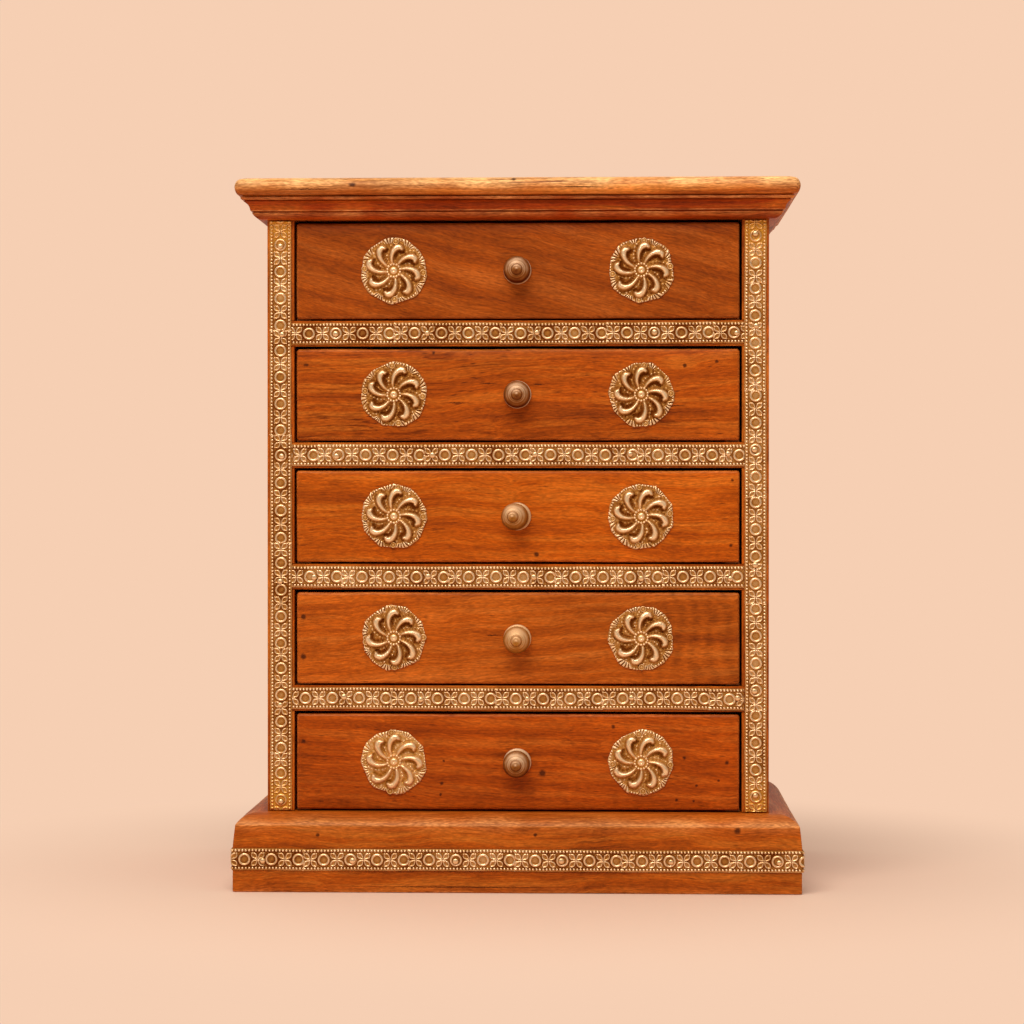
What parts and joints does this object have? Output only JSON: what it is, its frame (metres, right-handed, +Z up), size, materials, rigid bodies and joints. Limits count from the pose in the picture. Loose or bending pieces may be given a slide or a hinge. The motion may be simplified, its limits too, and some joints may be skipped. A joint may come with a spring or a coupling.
{
  "type": "chest of drawers",
  "caption": "Small teak chest of inset drawers on a moulded plinth, with embossed brass strips, pinwheel rosettes and turned brass knobs; every drawer slides out.",
  "frame": {"origin": "on the floor, under the middle of the overall box", "axes": "+Z up, +Y to the back, +X to the right seen from the front; the drawers open along -Y"},
  "size_m": [0.329, 0.2014, 0.41],
  "materials": {
    "teak": "oiled orange-brown teak, worn satin polish",
    "pale_teak": "paler worn teak, satin",
    "drawer_wood": "plain unpolished wood",
    "brass": "thin pressed or turned brass, satin with brown patina in the hollows"
  },
  "bodies": {
    "carcass": {"left_side": "teak", "right_side": "teak", "back_panel": "teak", "carcass_bottom": "teak", "carcass_top": "teak", "lid": "pale_teak", "cornice": "teak", "plinth": "teak", "divider_1": "teak", "divider_2": "teak", "divider_3": "teak", "divider_4": "teak", "left_post_strip": "brass", "right_post_strip": "brass", "plinth_strip": "brass", "rail_strip_1": "brass", "rail_strip_2": "brass", "rail_strip_3": "brass", "rail_strip_4": "brass"},
    "drawer_1": {"drawer_1_front": "teak", "drawer_1_left_side": "drawer_wood", "drawer_1_right_side": "drawer_wood", "drawer_1_back": "drawer_wood", "drawer_1_bottom": "drawer_wood", "drawer_1_knob": "brass", "drawer_1_left_rosette": "brass", "drawer_1_right_rosette": "brass"},
    "drawer_2": {"drawer_2_front": "teak", "drawer_2_left_side": "drawer_wood", "drawer_2_right_side": "drawer_wood", "drawer_2_back": "drawer_wood", "drawer_2_bottom": "drawer_wood", "drawer_2_knob": "brass", "drawer_2_left_rosette": "brass", "drawer_2_right_rosette": "brass"},
    "drawer_3": {"drawer_3_front": "teak", "drawer_3_left_side": "drawer_wood", "drawer_3_right_side": "drawer_wood", "drawer_3_back": "drawer_wood", "drawer_3_bottom": "drawer_wood", "drawer_3_knob": "brass", "drawer_3_left_rosette": "brass", "drawer_3_right_rosette": "brass"},
    "drawer_4": {"drawer_4_front": "teak", "drawer_4_left_side": "drawer_wood", "drawer_4_right_side": "drawer_wood", "drawer_4_back": "drawer_wood", "drawer_4_bottom": "drawer_wood", "drawer_4_knob": "brass", "drawer_4_left_rosette": "brass", "drawer_4_right_rosette": "brass"},
    "drawer_5": {"drawer_5_front": "teak", "drawer_5_left_side": "drawer_wood", "drawer_5_right_side": "drawer_wood", "drawer_5_back": "drawer_wood", "drawer_5_bottom": "drawer_wood", "drawer_5_knob": "brass", "drawer_5_left_rosette": "brass", "drawer_5_right_rosette": "brass"}
  },
  "joints": [
    {"name": "drawer_1_slide", "type": "slide", "parent": "carcass", "child": "drawer_1", "axis": [0, -1, 0], "range_m": [0, 0.13]},
    {"name": "drawer_2_slide", "type": "slide", "parent": "carcass", "child": "drawer_2", "axis": [0, -1, 0], "range_m": [0, 0.13]},
    {"name": "drawer_3_slide", "type": "slide", "parent": "carcass", "child": "drawer_3", "axis": [0, -1, 0], "range_m": [0, 0.13]},
    {"name": "drawer_4_slide", "type": "slide", "parent": "carcass", "child": "drawer_4", "axis": [0, -1, 0], "range_m": [0, 0.13]},
    {"name": "drawer_5_slide", "type": "slide", "parent": "carcass", "child": "drawer_5", "axis": [0, -1, 0], "range_m": [0, 0.13]}
  ]
}
